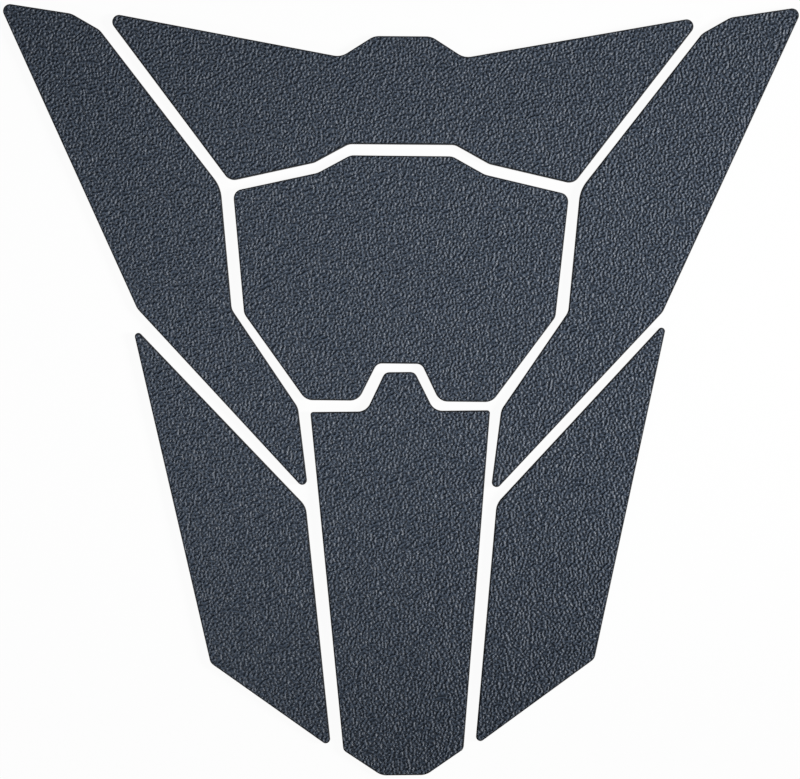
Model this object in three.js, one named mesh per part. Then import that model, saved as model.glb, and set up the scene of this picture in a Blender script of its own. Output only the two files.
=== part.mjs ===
import * as THREE from 'three';

// A stick-on motorcycle tank pad. It is a set of seven flat pads, die-cut from one sheet of
// leather-grained elastomer with an adhesive back, which go on the tank side by side with a
// narrow seam of bare paint between them. The set lies face up, as it is laid out before it is
// stuck down. +X is to the right, +Y towards the handlebars and +Z up. Lengths are millimetres.
//
// The layout is drawn once, for the right half. Each point is given as its distance right of
// the centre line and its height above the datum, just above the waist of the centre panel.
// The corners here are sharp, and the cut rounds them off. A wider or a narrower set has its
// points moved in proportion, but keeps the seams and the corner radii of the cutting die.

// The whole set across the tips of the wings, and the width that its layout is drawn at
const SET_WIDTH = 200;
const DRAWN_WIDTH = 200;

// The sheet and its cut edge
const SHEET_THICKNESS = 1.6;
const EDGE_ROLL = 0.3;
const CUT_DRAFT = 0.06;
const ROLL_STEPS = 4;
const ARC_STEP_DEGREES = 9;

// Corners of the centre panel, the shield in the middle of the set
const PANEL_CROWN = [12.8, 58.3];
const PANEL_BROW = [21.0, 53.8];
const PANEL_SHOULDER = [42.2, 49.0];
const PANEL_ELBOW = [39.1, 18.2];
const PANEL_WAIST = [23.4, -3.3];
const PANEL_NOTCH_FOOT = [10.2, -3.3];
const PANEL_NOTCH_HEAD = [5.6, 6.1];

// Corners of the spine, whose top tab stands in the panel's notch
const SPINE_SHOULDER = [22.6, -5.8];
const SPINE_FOOT = [15.1, -90.8];
const SPINE_TOE = [5.6, -97.2];

// Corners of the yoke, which lies across the top like a pair of horns
const YOKE_HUMP = [7.2, 88.3];
const YOKE_VALLEY = [15.5, 83.0];
const YOKE_TIP = [75.4, 93.9];
const YOKE_HEEL = [43.3, 51.7];

// Corners of the wing, the long outer pad
const WING_TIP = [101.1, 96.3];
const WING_BROW = [82.7, 93.5];
const WING_NECK = [75.7, 89.5];
const WING_HIP = [66.0, 19.5];
const WING_POINT = [22.7, -27.0];

// Corners of the flank, the pad below the wing
const FLANK_HEAD = [67.3, 16.8];
const FLANK_HIP = [48.2, -68.5];
const FLANK_FOOT = [18.1, -90.1];

// Clear widths of the seams, square to the seam, at the two ends of each stretch
const SEAM_PANEL_YOKE = [2.8, 2.8];
const SEAM_BROW_YOKE = [2.7, 2.7];
const SEAM_SHOULDER_YOKE = [2.7, 2.7];
const SEAM_NOTCH_TAB = [2.1, 2.1];
const SEAM_NOTCH_SIDE = [2.6, 2.6];
const SEAM_WAIST_SPINE = [2.5, 2.5];
const SEAM_YOKE_WING = [2.9, 2.4];
const SEAM_PANEL_WING = [2.8, 3.0];
const SEAM_ELBOW_WING = [1.9, 2.8];
const SEAM_SPINE_WING = [2.8, 2.0];
const SEAM_WING_FLANK = [2.9, 2.5];
const SEAM_SPINE_FLANK = [3.4, 2.9];

// Corner radii of the cutting die, each list in the order of its pad's corners
const PANEL_RADII = [3.5, 5.0, 2.3, 3.2, 3.5, 3.4, 2.0];
const SPINE_RADII = [1.8, 3.4, 0.7, 1.6, 4.5];
const YOKE_RADII = [4.5, 4.5, 1.8, 2.9, 3.6, 3.4];
const WING_RADII = [1.8, 4.5, 1.2, 4.5, 4.0, 9.0, 4.7, 4.3];
const FLANK_RADII = [0.9, 2.3, 1.1, 5.0];

// How each pad lies against the drawn layout: its turn in degrees and its shift right and up
const YOKE_LAY = [-0.45, 0.6, 0];
const PANEL_LAY = [-0.6, 0.05, 0];
const SPINE_LAY = [0.55, 0.4, 0];
const LEFT_WING_LAY = [-0.2, 0.1, 0.4];
const RIGHT_WING_LAY = [-0.2, 0.1, -0.4];
const LEFT_FLANK_LAY = [0.45, 0.45, -0.45];
const RIGHT_FLANK_LAY = [0.45, 0.45, 0.45];

// Dark slate, matt, as moulded grain is
const PAD_COLOUR = 0x40464f;
const PAD_ROUGHNESS = 0.72;

const at = ([x, y]) => new THREE.Vector2(x, y).multiplyScalar(SET_WIDTH / DRAWN_WIDTH);
const mirrorPoint = (p) => new THREE.Vector2(-p.x, p.y);

// The straight edge between two corners
function edge(from, to) {
  return { from, to };
}

// The neighbour's edge across a seam: the given edge moved off its own pad, which lies on its
// right as it runs, by the seam's width at each end
function acrossSeam({ from, to }, [startWidth, endWidth]) {
  const along = to.clone().sub(from).normalize();
  const outward = new THREE.Vector2(-along.y, along.x);
  return edge(
    from.clone().addScaledVector(outward, startWidth),
    to.clone().addScaledVector(outward, endWidth),
  );
}

// The corner where two edges meet, once both are carried on as far as they need
function corner(first, second) {
  const u = first.to.clone().sub(first.from);
  const v = second.to.clone().sub(second.from);
  const reach = second.from.clone().sub(first.from).cross(v) / u.cross(v);
  return first.from.clone().addScaledVector(u, reach);
}

// An outline is a ring of sharp corners, clockwise seen from above, with a radius for each
function halfToWhole(corners, radii) {
  return {
    corners: [...corners, ...corners.map(mirrorPoint).reverse()],
    radii: [...radii, ...[...radii].reverse()],
  };
}

function mirrored({ corners, radii }) {
  return { corners: corners.map(mirrorPoint).reverse(), radii: [...radii].reverse() };
}

const crown = at(PANEL_CROWN);
const brow = at(PANEL_BROW);
const shoulder = at(PANEL_SHOULDER);
const elbow = at(PANEL_ELBOW);
const waist = at(PANEL_WAIST);
const notchFoot = at(PANEL_NOTCH_FOOT);
const notchHead = at(PANEL_NOTCH_HEAD);

function centrePanel() {
  return halfToWhole([crown, brow, shoulder, elbow, waist, notchFoot, notchHead], PANEL_RADII);
}

// The spine's top edge follows the panel's waist and notch, and its sides run straight down
const tabTop = acrossSeam(edge(notchHead, mirrorPoint(notchHead)), SEAM_NOTCH_TAB);
const tabSide = acrossSeam(edge(notchFoot, notchHead), SEAM_NOTCH_SIDE);
const spineTop = acrossSeam(edge(waist, notchFoot), SEAM_WAIST_SPINE);
const spineSide = edge(at(SPINE_SHOULDER), at(SPINE_FOOT));
const spineShoulder = corner(spineTop, spineSide);

function spine() {
  const tabHead = corner(tabTop, tabSide);
  const tabFoot = corner(tabSide, spineTop);
  const corners = [tabHead, tabFoot, spineShoulder, at(SPINE_FOOT), at(SPINE_TOE)];
  return halfToWhole(corners, SPINE_RADII);
}

// The yoke's lower edge follows the top of the panel, and its slanted ends face the wings
const yokeEnd = edge(at(YOKE_TIP), at(YOKE_HEEL));
const yokeUnderShoulder = acrossSeam(edge(brow, shoulder), SEAM_SHOULDER_YOKE);
const yokeHeel = corner(yokeEnd, yokeUnderShoulder);

function yoke() {
  const underBrow = acrossSeam(edge(crown, brow), SEAM_BROW_YOKE);
  const underCrown = acrossSeam(edge(mirrorPoint(crown), crown), SEAM_PANEL_YOKE);
  const corners = [
    at(YOKE_HUMP),
    at(YOKE_VALLEY),
    at(YOKE_TIP),
    yokeHeel,
    corner(yokeUnderShoulder, underBrow),
    corner(underBrow, underCrown),
  ];
  return halfToWhole(corners, YOKE_RADII);
}

// The wing lies along the yoke's end, the panel's two sides and the top of the spine
const wingLower = edge(at(WING_HIP), at(WING_POINT));
const spineBesideWing = edge(
  spineShoulder,
  corner(spineSide, edge(new THREE.Vector2(0, at(WING_POINT).y), at(WING_POINT))),
);
const wingBesideSpine = acrossSeam(spineBesideWing, SEAM_SPINE_WING);
const wingPoint = corner(wingLower, wingBesideSpine);

function wing() {
  const besideYoke = acrossSeam(edge(at(YOKE_TIP), yokeHeel), SEAM_YOKE_WING);
  const besidePanel = acrossSeam(edge(shoulder, elbow), SEAM_PANEL_WING);
  const besideElbow = acrossSeam(edge(elbow, waist), SEAM_ELBOW_WING);
  const neck = corner(edge(at(WING_BROW), at(WING_NECK)), besideYoke);
  const corners = [
    at(WING_TIP),
    at(WING_HIP),
    wingPoint,
    corner(wingBesideSpine, besideElbow),
    corner(besideElbow, besidePanel),
    corner(besidePanel, besideYoke),
    neck,
    at(WING_BROW),
  ];
  return { corners, radii: WING_RADII };
}

// The flank lies along the wing's lower edge and the rest of the spine's side
function flank() {
  const besideWing = acrossSeam(edge(at(WING_HIP), wingPoint), SEAM_WING_FLANK);
  const besideSpine = acrossSeam(edge(spineBesideWing.to, at(SPINE_FOOT)), SEAM_SPINE_FLANK);
  const outer = edge(at(FLANK_HEAD), at(FLANK_HIP));
  const lower = edge(at(FLANK_HIP), at(FLANK_FOOT));
  const corners = [
    corner(besideWing, outer),
    at(FLANK_HIP),
    corner(lower, besideSpine),
    corner(besideSpine, besideWing),
  ];
  return { corners, radii: FLANK_RADII };
}

// The rounded outline, moved in from the cut by an inset. The arcs of one corner keep their
// centre, so rings of different insets have the same number of points, side by side.
function ring({ corners, radii }, inset) {
  const points = [];
  corners.forEach((tip, i) => {
    const back = corners.at(i - 1).clone().sub(tip);
    const ahead = corners[(i + 1) % corners.length].clone().sub(tip);
    const room = Math.min(back.length(), ahead.length()) / 2;
    back.normalize();
    ahead.normalize();
    const halfAngle = Math.acos(THREE.MathUtils.clamp(back.dot(ahead), -1, 1)) / 2;
    const convex = Math.sign(back.cross(ahead));
    const cutRadius = Math.min(radii[i], room * Math.tan(halfAngle));
    const radius = cutRadius - convex * inset;
    const toCentre = cutRadius / Math.sin(halfAngle);
    const bisector = back.clone().add(ahead).normalize();
    const centre = tip.clone().addScaledVector(bisector, toCentre);
    const sweep = Math.PI - 2 * halfAngle;
    const steps = Math.ceil(THREE.MathUtils.radToDeg(sweep) / ARC_STEP_DEGREES);
    const middle = bisector.angle() + Math.PI;
    for (let step = 0; step <= steps; step += 1) {
      const angle = middle + convex * sweep * (0.5 - step / steps);
      const offset = new THREE.Vector2(Math.cos(angle), Math.sin(angle)).multiplyScalar(radius);
      points.push(centre.clone().add(offset));
    }
  });
  return points;
}

// The section of the cut edge, from the adhesive face up: a side that leans in a little, as a
// soft sheet does under the die, and a rolled shoulder that runs into the flat top. The roll
// stays well inside the sheet and inside the pad's tightest corner.
function edgeSection(tightestRadius) {
  const roll = Math.min(EDGE_ROLL, SHEET_THICKNESS / 2, tightestRadius / 2);
  const section = [{ inset: 0, height: 0 }];
  for (let step = 0; step <= ROLL_STEPS; step += 1) {
    const angle = (Math.PI / 2) * (step / ROLL_STEPS);
    section.push({
      inset: CUT_DRAFT + roll * (1 - Math.cos(angle)),
      height: SHEET_THICKNESS - roll * (1 - Math.sin(angle)),
    });
  }
  return section;
}

// A pad is its outline lofted through the edge section and closed by its two flat faces
function padGeometry(outline) {
  const section = edgeSection(Math.min(...outline.radii));
  const rings = section.map(({ inset, height }) => ({ points: ring(outline, inset), height }));
  const positions = rings.flatMap(({ points, height }) => points.flatMap((p) => [p.x, p.y, height]));
  const count = rings[0].points.length;
  const faces = [];
  for (let level = 0; level + 1 < rings.length; level += 1) {
    for (let i = 0; i < count; i += 1) {
      const next = (i + 1) % count;
      const lower = [level * count + i, level * count + next];
      const upper = [(level + 1) * count + i, (level + 1) * count + next];
      faces.push(upper[1], lower[1], lower[0]);
      faces.push(upper[0], upper[1], lower[0]);
    }
  }
  const top = (rings.length - 1) * count;
  for (const [a, b, c] of THREE.ShapeUtils.triangulateShape(rings[0].points, [])) {
    faces.push(a, c, b);
  }
  for (const [a, b, c] of THREE.ShapeUtils.triangulateShape(rings.at(-1).points, [])) {
    faces.push(top + a, top + b, top + c);
  }
  const geometry = new THREE.BufferGeometry();
  geometry.setAttribute('position', new THREE.Float32BufferAttribute(positions, 3));
  geometry.setIndex(faces);
  geometry.computeVertexNormals();
  return geometry;
}

// One pad as a mesh that turns about the middle of its corners
function pad(name, outline, [turn, right, up]) {
  const middle = new THREE.Vector2();
  outline.corners.forEach((tip) => middle.add(tip));
  middle.divideScalar(outline.corners.length);
  const local = {
    corners: outline.corners.map((tip) => tip.clone().sub(middle)),
    radii: outline.radii,
  };
  const material = new THREE.MeshStandardMaterial({
    color: PAD_COLOUR,
    roughness: PAD_ROUGHNESS,
    metalness: 0,
  });
  const mesh = new THREE.Mesh(padGeometry(local), material);
  mesh.name = name;
  mesh.position.set(middle.x + right, middle.y + up, 0);
  mesh.rotation.z = THREE.MathUtils.degToRad(turn);
  return mesh;
}

const tankPad = new THREE.Group();
tankPad.name = 'tank_pad';
tankPad.add(
  pad('top_yoke', yoke(), YOKE_LAY),
  pad('left_wing', mirrored(wing()), LEFT_WING_LAY),
  pad('right_wing', wing(), RIGHT_WING_LAY),
  pad('centre_panel', centrePanel(), PANEL_LAY),
  pad('left_flank', mirrored(flank()), LEFT_FLANK_LAY),
  pad('right_flank', flank(), RIGHT_FLANK_LAY),
  pad('spine', spine(), SPINE_LAY),
);

// The part's origin is the middle of the whole set, on the surface that it lies on
const middleOfSet = new THREE.Box3().setFromObject(tankPad, true).getCenter(new THREE.Vector3());
tankPad.position.set(-middleOfSet.x, -middleOfSet.y, 0);

export default tankPad;
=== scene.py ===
"""The looks of a stick-on motorcycle tank pad: seven flat die-cut pads of leather-grained elastomer.

Every pad keeps the outline, thickness and place of its solid. Its face gets the moulded grain as
real relief, and its cut edge and adhesive back get finishes of their own.
"""

import math

import bpy
import numpy as np
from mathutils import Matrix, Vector, kdtree
from mathutils.geometry import delaunay_2d_cdt


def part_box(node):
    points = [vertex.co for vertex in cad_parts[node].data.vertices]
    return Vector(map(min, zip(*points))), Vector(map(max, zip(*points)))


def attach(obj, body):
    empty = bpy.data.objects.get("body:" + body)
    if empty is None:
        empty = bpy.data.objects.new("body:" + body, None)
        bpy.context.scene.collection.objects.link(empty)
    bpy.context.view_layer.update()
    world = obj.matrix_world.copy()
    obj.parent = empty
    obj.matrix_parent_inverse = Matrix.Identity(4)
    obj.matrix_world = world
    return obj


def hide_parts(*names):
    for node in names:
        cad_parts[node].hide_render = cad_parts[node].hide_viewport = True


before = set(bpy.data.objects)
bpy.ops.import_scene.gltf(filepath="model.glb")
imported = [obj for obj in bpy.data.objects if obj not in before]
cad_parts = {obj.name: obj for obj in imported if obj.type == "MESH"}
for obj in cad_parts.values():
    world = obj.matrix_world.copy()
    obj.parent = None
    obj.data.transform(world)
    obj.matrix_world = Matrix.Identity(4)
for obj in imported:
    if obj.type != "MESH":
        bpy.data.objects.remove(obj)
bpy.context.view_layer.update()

MM = 0.001

# Corners of a solid that agree to this many parts of a metre are one corner
PARTS_OF_METRE = 1e7

# The cut edge, as the solids have it
EDGE_ROLL = 0.3 * MM
CUT_DRAFT = 0.06 * MM
ROLL_STEPS = 3

# In the solids an edge shorter than this is a facet of a rounded corner
LONGEST_FACET = 2.0 * MM

# The mesh of a pad's face, fine enough to carry the grain. Its lattice keeps clear of the rim by
# a share of its step, and points closer than CLOSEST are one.
FACE_STEP = 0.25 * MM
FACE_MARGIN = 0.6
CLOSEST = 1e-6 * MM

# The moulded leather grain: its pitch from fold to fold, the depth of its pits, and the depth of
# the bump that sharpens it. The noise is flat below PIT_LEVEL and above CREST_LEVEL.
GRAIN_PITCH = 1.03 * MM
GRAIN_DEPTH = 0.18 * MM
GRAIN_CRISPNESS = 0.21 * MM
GRAIN_SEED = 7.0
PIT_LEVEL = 0.3
CREST_LEVEL = 0.7

# Where a pad's finishes meet: less grain than this is the cut edge, and a normal with its z
# below this is the back's
FACE_SHARE = 0.9
DOWNWARD = -0.5

# The table's own white, with the rest of it taking light and shadow, and its reach in metres
TABLE_GLOW = 0.955
TABLE_REACH = 3.0

# The faint even light from all round
STUDIO_GLOW = 0.05

# The photograph's frame, straight down on the laid-out set
PICTURE_WIDTH = 200.9 * MM
PICTURE_MIDDLE = Vector((-0.25 * MM, 0.06 * MM))
LENS = 200.0
SENSOR = 36.0


def linear(hex_colour):
    """A hex sRGB colour as linear RGBA."""
    channels = [int(hex_colour[i : i + 2], 16) / 255 for i in (1, 3, 5)]
    curve = [c / 12.92 if c <= 0.04045 else ((c + 0.055) / 1.055) ** 2.4 for c in channels]
    return (*curve, 1.0)


def add_node(tree, kind, settings=None, inputs=None, links=None):
    """Adds a node with its settings, its unlinked inputs and the sockets that feed it."""
    node = tree.nodes.new(kind)
    for name, value in (settings or {}).items():
        setattr(node, name, value)
    for name, value in (inputs or {}).items():
        node.inputs[name].default_value = value
    for name, socket in (links or {}).items():
        tree.links.new(socket, node.inputs[name])
    return node


# The outline of each pad, read from its solid


def outline_of(node):
    """The corners of a solid's lower face, in order, counter-clockwise seen from above."""
    mesh = node.data
    points = np.array([v.co for v in mesh.vertices])
    keys = [tuple(np.round(p[:2] * PARTS_OF_METRE).astype(int)) for p in points]
    place = {}
    edges = []
    for face in mesh.polygons:
        if any(points[i][2] > CUT_DRAFT for i in face.vertices):
            continue
        corners = list(face.vertices)
        for a, b in zip(corners, corners[1:] + corners[:1]):
            place[keys[a]] = points[a][:2]
            edges.append((keys[a], keys[b]))
    known = set(edges)
    rim = {b: a for a, b in edges if (b, a) not in known}
    start = next(iter(rim))
    ring = [start]
    while rim[ring[-1]] != start:
        ring.append(rim[ring[-1]])
    return np.array([place[k] for k in ring])


def smooth_outline(corners):
    """The outline with its faceted arcs made round again, and a point every FACE_STEP or so."""
    ahead = np.roll(corners, -1, axis=0) - corners
    length = np.hypot(*ahead.T)
    direction = ahead / length[:, None]
    straight = length > LONGEST_FACET
    tangent = direction + np.roll(direction, 1, axis=0)
    tangent[straight] = direction[straight]
    before = np.roll(straight, 1)
    tangent[before] = np.roll(direction, 1, axis=0)[before]
    tangent /= np.hypot(*tangent.T)[:, None]
    points = []
    for i in range(len(corners)):
        j = (i + 1) % len(corners)
        steps = max(1, round(length[i] / FACE_STEP))
        for t in np.arange(steps) / steps:
            share = t * t * (3 - 2 * t)
            bow = t * (1 - t) ** 2 * tangent[i] - t * t * (1 - t) * tangent[j]
            points.append(corners[i] * (1 - share) + corners[j] * share + length[i] * bow)
    return np.array(points)


def inward(points):
    """The inward normal at each point of a counter-clockwise outline."""
    along = np.roll(points, -1, axis=0) - np.roll(points, 1, axis=0)
    along /= np.hypot(*along.T)[:, None]
    return np.stack([-along[:, 1], along[:, 0]], axis=1)


def edge_section(thickness):
    """Inset, height and grain share of each ring of the cut edge, from the back up."""
    section = [(0.0, 0.0, 0.0)]
    for step in range(ROLL_STEPS + 1):
        angle = math.pi / 2 * step / ROLL_STEPS
        inset = CUT_DRAFT + EDGE_ROLL * (1 - math.cos(angle))
        height = thickness - EDGE_ROLL * (1 - math.sin(angle))
        section.append((inset, height, step / ROLL_STEPS))
    return section


def row_cuts(ring, y):
    """Where a level line cuts a ring, from left to right."""
    start, end = ring, np.roll(ring, -1, axis=0)
    crosses = (start[:, 1] > y) != (end[:, 1] > y)
    share = (y - start[crosses, 1]) / (end[crosses, 1] - start[crosses, 1])
    return np.sort(start[crosses, 0] + share * (end[crosses, 0] - start[crosses, 0]))


def lattice_inside(ring):
    """Points of a triangular lattice inside a ring, clear of the ring's own points."""
    tree = kdtree.KDTree(len(ring))
    for i, (x, y) in enumerate(ring):
        tree.insert((x, y, 0), i)
    tree.balance()
    low, high = ring.min(axis=0), ring.max(axis=0)
    found = []
    for row, y in enumerate(np.arange(low[1], high[1], FACE_STEP * math.sqrt(3) / 2)):
        xs = np.arange(low[0] + row % 2 * FACE_STEP / 2, high[0], FACE_STEP)
        inside = np.searchsorted(row_cuts(ring, y), xs) % 2 == 1
        for x in xs[inside]:
            if tree.find((x, y, 0))[2] > FACE_MARGIN * FACE_STEP:
                found.append((x, y))
    return found


def face_triangles(ring):
    """The points and triangles that fill a ring. The ring's own points come first.

    The triangulation fills the ring's hull, so a triangle between ring points is kept only where
    its middle is inside the ring.
    """
    count = len(ring)
    points = np.array([*map(tuple, ring), *lattice_inside(ring)])
    edges = [(i, (i + 1) % count) for i in range(count)]
    made = delaunay_2d_cdt([Vector(p) for p in points], edges, [], 0, CLOSEST, True)
    source = np.array([found[0] for found in made[3]])
    triangles = source[np.array(made[2])]
    on_rim = np.all(triangles < count, axis=1)
    keep = ~on_rim
    for i in np.flatnonzero(on_rim):
        x, y = points[triangles[i]].mean(axis=0)
        keep[i] = np.searchsorted(row_cuts(ring, y), x) % 2 == 1
    return points, triangles[keep]


def pad_mesh(name, outline, thickness):
    """A pad as one closed mesh: back, cut side, rolled edge and a dense face."""
    normals = inward(outline)
    section = edge_section(thickness)
    count = len(outline)
    vertices = []
    shares = []
    for inset, height, share in section:
        vertices += [(x, y, height) for x, y in outline + normals * inset]
        shares += [share] * count
    points, triangles = face_triangles(outline + normals * section[-1][0])
    vertices += [(x, y, thickness) for x, y in points[count:]]
    shares += [1.0] * (len(points) - count)
    faces = [tuple(reversed(range(count)))]
    for level in range(len(section) - 1):
        for i in range(count):
            j = (i + 1) % count
            low, high = level * count, (level + 1) * count
            faces.append((low + i, low + j, high + j, high + i))
    face_start = (len(section) - 1) * count
    faces += [tuple(t) for t in (triangles + face_start).tolist()]
    mesh = bpy.data.meshes.new(name)
    mesh.from_pydata(vertices, [], faces)
    mesh.attributes.new("grain_share", "FLOAT", "POINT").data.foreach_set("value", shares)
    mesh.polygons.foreach_set("use_smooth", [False] + [True] * (len(faces) - 1))
    return mesh


# The grain


def grain_height(tree, place, pitch, seed):
    """The height of the leather grain at a place, from 0 in a pit to 1 on a crest."""
    in_pitches = add_node(
        tree, "ShaderNodeVectorMath", {"operation": "DIVIDE"}, links={0: place, 1: pitch}
    ).outputs[0]
    shifted = add_node(
        tree, "ShaderNodeVectorMath", {"operation": "ADD"}, links={0: in_pitches, 1: seed}
    ).outputs[0]
    folds = add_node(
        tree,
        "ShaderNodeTexGabor",
        {"gabor_type": "2D"},
        {"Scale": 1.0, "Frequency": 1.0, "Anisotropy": 0.0},
        {"Vector": shifted},
    ).outputs["Value"]
    return add_node(
        tree,
        "ShaderNodeMapRange",
        {"interpolation_type": "SMOOTHSTEP"},
        {"From Min": PIT_LEVEL, "From Max": CREST_LEVEL},
        {"Value": folds},
    ).outputs["Result"]


def grain_tree(face_finish, edge_finish, back_finish):
    """Geometry Nodes that press the grain into a pad's face and put on its finishes."""
    tree = bpy.data.node_groups.new("leather_grain", "GeometryNodeTree")
    sockets = tree.interface
    sockets.new_socket("Geometry", in_out="INPUT", socket_type="NodeSocketGeometry")
    for name, value in (("Pitch", GRAIN_PITCH), ("Depth", GRAIN_DEPTH), ("Seed", GRAIN_SEED)):
        size = sockets.new_socket(name, in_out="INPUT", socket_type="NodeSocketFloat")
        size.default_value = value
    sockets.new_socket("Geometry", in_out="OUTPUT", socket_type="NodeSocketGeometry")
    start = add_node(tree, "NodeGroupInput")
    place = add_node(tree, "GeometryNodeInputPosition").outputs[0]
    height = grain_height(tree, place, start.outputs["Pitch"], start.outputs["Seed"])
    below_crest = add_node(
        tree, "ShaderNodeMath", {"operation": "SUBTRACT"}, {1: 1.0}, {0: height}
    ).outputs[0]
    share = add_node(
        tree, "GeometryNodeInputNamedAttribute", {"data_type": "FLOAT"}, {"Name": "grain_share"}
    ).outputs["Attribute"]
    pressed = add_node(
        tree, "ShaderNodeMath", {"operation": "MULTIPLY"}, links={0: below_crest, 1: share}
    ).outputs[0]
    depth = add_node(
        tree,
        "ShaderNodeMath",
        {"operation": "MULTIPLY"},
        links={0: pressed, 1: start.outputs["Depth"]},
    ).outputs[0]
    normal = add_node(tree, "GeometryNodeInputNormal").outputs[0]
    offset = add_node(
        tree, "ShaderNodeVectorMath", {"operation": "SCALE"}, links={0: normal, "Scale": depth}
    ).outputs[0]
    moved = add_node(
        tree,
        "GeometryNodeSetPosition",
        links={"Geometry": start.outputs["Geometry"], "Offset": offset},
    ).outputs[0]
    real = add_node(tree, "GeometryNodeRealizeInstances", links={0: moved}).outputs[0]
    faced = add_node(
        tree, "GeometryNodeSetMaterial", inputs={"Material": face_finish}, links={"Geometry": real}
    ).outputs[0]
    rolled = add_node(
        tree,
        "FunctionNodeCompare",
        {"data_type": "FLOAT", "operation": "LESS_THAN"},
        {"B": FACE_SHARE},
        {"A": share},
    ).outputs[0]
    edged = add_node(
        tree,
        "GeometryNodeSetMaterial",
        inputs={"Material": edge_finish},
        links={"Geometry": faced, "Selection": rolled},
    ).outputs[0]
    facing = add_node(tree, "ShaderNodeSeparateXYZ", links={0: normal}).outputs["Z"]
    under = add_node(
        tree,
        "FunctionNodeCompare",
        {"data_type": "FLOAT", "operation": "LESS_THAN"},
        {"B": DOWNWARD},
        {"A": facing},
    ).outputs[0]
    backed = add_node(
        tree,
        "GeometryNodeSetMaterial",
        inputs={"Material": back_finish},
        links={"Geometry": edged, "Selection": under},
    ).outputs[0]
    end = add_node(tree, "NodeGroupOutput")
    tree.links.new(backed, end.inputs["Geometry"])
    return tree


def baked(name, mesh, tree):
    """The mesh with the tree's result applied, as an object of its own."""
    rough = bpy.data.objects.new(name + "_rough", mesh)
    bpy.context.scene.collection.objects.link(rough)
    rough.modifiers.new("grain", "NODES").node_group = tree
    depsgraph = bpy.context.evaluated_depsgraph_get()
    final = bpy.data.meshes.new_from_object(rough.evaluated_get(depsgraph), depsgraph=depsgraph)
    bpy.data.objects.remove(rough)
    bpy.data.meshes.remove(mesh)
    final.name = name
    piece = bpy.data.objects.new(name, final)
    bpy.context.scene.collection.objects.link(piece)
    return piece


# Finishes


def grained_elastomer():
    """Soft elastomer sheet, moulded with a leather grain. To the eye it is dark slate and matt,
    with small soft highlights along the folds. Its colour is painted darker in the pits and
    lighter on the crests: painted shade in the hollows of the grain, and painted light on its tops."""
    material = bpy.data.materials.new("grained_elastomer")
    material.use_nodes = True
    tree = material.node_tree
    shader = tree.nodes["Principled BSDF"]
    place = add_node(tree, "ShaderNodeTexCoord").outputs["Object"]
    pitch = add_node(tree, "ShaderNodeValue")
    pitch.outputs[0].default_value = GRAIN_PITCH
    seed = add_node(tree, "ShaderNodeValue")
    seed.outputs[0].default_value = GRAIN_SEED
    height = grain_height(tree, place, pitch.outputs[0], seed.outputs[0])
    # Painted shade and painted light: the colour goes dark in the grain's pits and light on its
    # crests, following its height.
    colour = add_node(
        tree,
        "ShaderNodeMix",
        {"data_type": "RGBA"},
        {"A": linear("#262f3b"), "B": linear("#434e5d")},
        {"Factor": height},
    )
    tree.links.new(colour.outputs["Result"], shader.inputs["Base Color"])
    bump = add_node(
        tree, "ShaderNodeBump", inputs={"Distance": GRAIN_CRISPNESS}, links={"Height": height}
    ).outputs[0]
    tree.links.new(bump, shader.inputs["Normal"])
    shader.inputs["Roughness"].default_value = 0.5
    shader.inputs["IOR"].default_value = 1.5
    return material


def uneven_finish(name, dark, light, patch, unevenness, roughness):
    """A finish whose colour and height vary softly from patch to patch."""
    material = bpy.data.materials.new(name)
    material.use_nodes = True
    tree = material.node_tree
    shader = tree.nodes["Principled BSDF"]
    place = add_node(tree, "ShaderNodeTexCoord").outputs["Object"]
    in_patches = add_node(
        tree, "ShaderNodeVectorMath", {"operation": "DIVIDE"}, {1: patch}, {0: place}
    ).outputs[0]
    noise = add_node(
        tree,
        "ShaderNodeTexNoise",
        inputs={"Scale": 1.0, "Detail": 2.0},
        links={"Vector": in_patches},
    ).outputs[0]
    colour = add_node(
        tree,
        "ShaderNodeMix",
        {"data_type": "RGBA"},
        {"A": linear(dark), "B": linear(light)},
        {"Factor": noise},
    )
    tree.links.new(colour.outputs["Result"], shader.inputs["Base Color"])
    bump = add_node(
        tree, "ShaderNodeBump", inputs={"Distance": unevenness}, links={"Height": noise}
    ).outputs[0]
    tree.links.new(bump, shader.inputs["Normal"])
    shader.inputs["Roughness"].default_value = roughness
    shader.inputs["IOR"].default_value = 1.5
    return material


def die_cut_elastomer():
    """The elastomer where the die went through it. It is coloured dull and nearly black, far
    darker than the face, with fine drag marks down the side."""
    return uneven_finish(
        "die_cut_elastomer",
        dark="#0a0d11",
        light="#12161c",
        patch=(0.15 * MM, 0.15 * MM, 2.0 * MM),
        unevenness=0.02 * MM,
        roughness=0.85,
    )


def acrylic_adhesive():
    """A film of acrylic adhesive on the smooth back: a low gloss, a little uneven as it was
    rolled on."""
    return uneven_finish(
        "acrylic_adhesive",
        dark="#242629",
        light="#323438",
        patch=(4.0 * MM, 4.0 * MM, 4.0 * MM),
        unevenness=0.02 * MM,
        roughness=0.35,
    )


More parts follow.
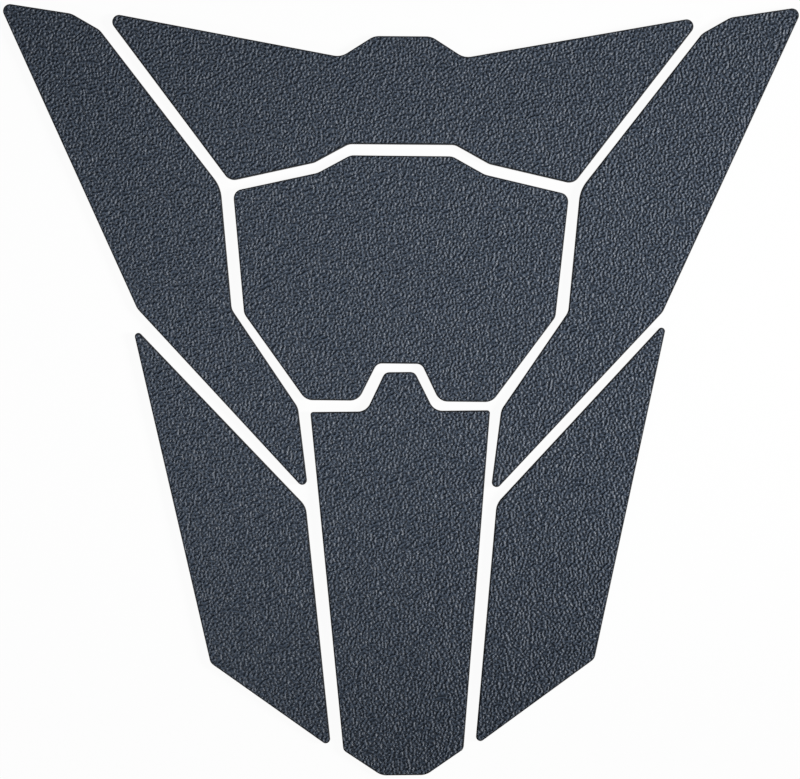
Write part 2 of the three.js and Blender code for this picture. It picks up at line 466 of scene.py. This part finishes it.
def paper_white():
    """A plain white table: it shows white to the eye and still takes the pads' soft shadow."""
    material = bpy.data.materials.new("paper_white")
    material.use_nodes = True
    tree = material.node_tree
    tree.nodes.clear()
    path = add_node(tree, "ShaderNodeLightPath")
    seen_or_mirrored = add_node(
        tree,
        "ShaderNodeMath",
        {"operation": "MAXIMUM"},
        links={0: path.outputs["Is Camera Ray"], 1: path.outputs["Is Glossy Ray"]},
    ).outputs[0]
    seen = add_node(
        tree,
        "ShaderNodeMath",
        {"operation": "MAXIMUM"},
        links={0: seen_or_mirrored, 1: path.outputs["Is Transmission Ray"]},
    ).outputs[0]
    glow = add_node(
        tree, "ShaderNodeMath", {"operation": "MULTIPLY"}, {1: TABLE_GLOW}, {0: seen}
    ).outputs[0]
    matt = add_node(
        tree, "ShaderNodeBsdfDiffuse", inputs={"Color": linear("#f4f4f4")}
    ).outputs[0]
    white = add_node(tree, "ShaderNodeEmission", inputs={"Strength": 1.0}).outputs[0]
    mixed = add_node(tree, "ShaderNodeMixShader", links={0: glow, 1: matt, 2: white}).outputs[0]
    end = add_node(tree, "ShaderNodeOutputMaterial")
    tree.links.new(mixed, end.inputs["Surface"])
    return material


# The scene round the part


def add_floor():
    """The table under the pads, a square with its middle under theirs."""
    mesh = bpy.data.meshes.new("table")
    r = TABLE_REACH
    mesh.from_pydata([(-r, -r, 0), (r, -r, 0), (r, r, 0), (-r, r, 0)], [], [(0, 1, 2, 3)])
    mesh.materials.append(paper_white())
    table = bpy.data.objects.new("table", mesh)
    bpy.context.scene.collection.objects.link(table)


def add_camera():
    """A long lens that looks straight down and takes in the photograph's width."""
    data = bpy.data.cameras.new("camera")
    data.lens = LENS
    data.sensor_width = SENSOR
    camera = bpy.data.objects.new("camera", data)
    distance = PICTURE_WIDTH * LENS / SENSOR
    camera.location = (*PICTURE_MIDDLE, distance)
    bpy.context.scene.collection.objects.link(camera)
    bpy.context.scene.camera = camera


def add_soft_box(name, azimuth, elevation, distance, target, size, spread, power):
    """A square soft box with a grid, turned to look at its target on the table."""
    data = bpy.data.lights.new(name, "AREA")
    data.size = size
    data.spread = math.radians(spread)
    data.energy = power
    lamp = bpy.data.objects.new(name, data)
    a, e = math.radians(azimuth), math.radians(elevation)
    away = Vector((math.cos(a) * math.cos(e), math.sin(a) * math.cos(e), math.sin(e)))
    lamp.location = Vector(target) + away * distance
    lamp.rotation_euler = away.to_track_quat("Z", "Y").to_euler()
    bpy.context.scene.collection.objects.link(lamp)


def add_light():
    """Two low soft boxes rake the grain. Their narrow beams leave the bottom of the set a little
    dimmer, as it is in the photograph."""
    add_soft_box(
        "key",
        azimuth=-4,
        elevation=28,
        distance=0.7,
        target=(0.05, 0.02, 0),
        size=0.2,
        spread=39,
        power=0.505,
    )
    add_soft_box(
        "fill",
        azimuth=226,
        elevation=26,
        distance=0.5,
        target=(-0.07, 0.0, 0),
        size=0.2,
        spread=24,
        power=0.06,
    )
    world = bpy.data.worlds.new("studio")
    world.use_nodes = True
    tree = world.node_tree
    path = add_node(tree, "ShaderNodeLightPath")
    glow = tree.nodes["Background"]
    glow.inputs["Color"].default_value = (1, 1, 1, 1)
    strength = add_node(
        tree,
        "ShaderNodeMapRange",
        inputs={"To Min": STUDIO_GLOW, "To Max": 1.0},
        links={"Value": path.outputs["Is Camera Ray"]},
    ).outputs["Result"]
    tree.links.new(strength, glow.inputs["Strength"])
    bpy.context.scene.world = world


def make_pads():
    """Makes each pad in place of its solid."""
    tree = grain_tree(grained_elastomer(), die_cut_elastomer(), acrylic_adhesive())
    for name in sorted(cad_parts):
        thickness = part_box(name)[1].z
        outline = smooth_outline(outline_of(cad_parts[name]))
        piece = baked(name + "_pad", pad_mesh(name, outline, thickness), tree)
        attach(piece, "root")
        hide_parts(name)


make_pads()
add_floor()
add_camera()
add_light()
bpy.context.scene.view_settings.view_transform = "Standard"
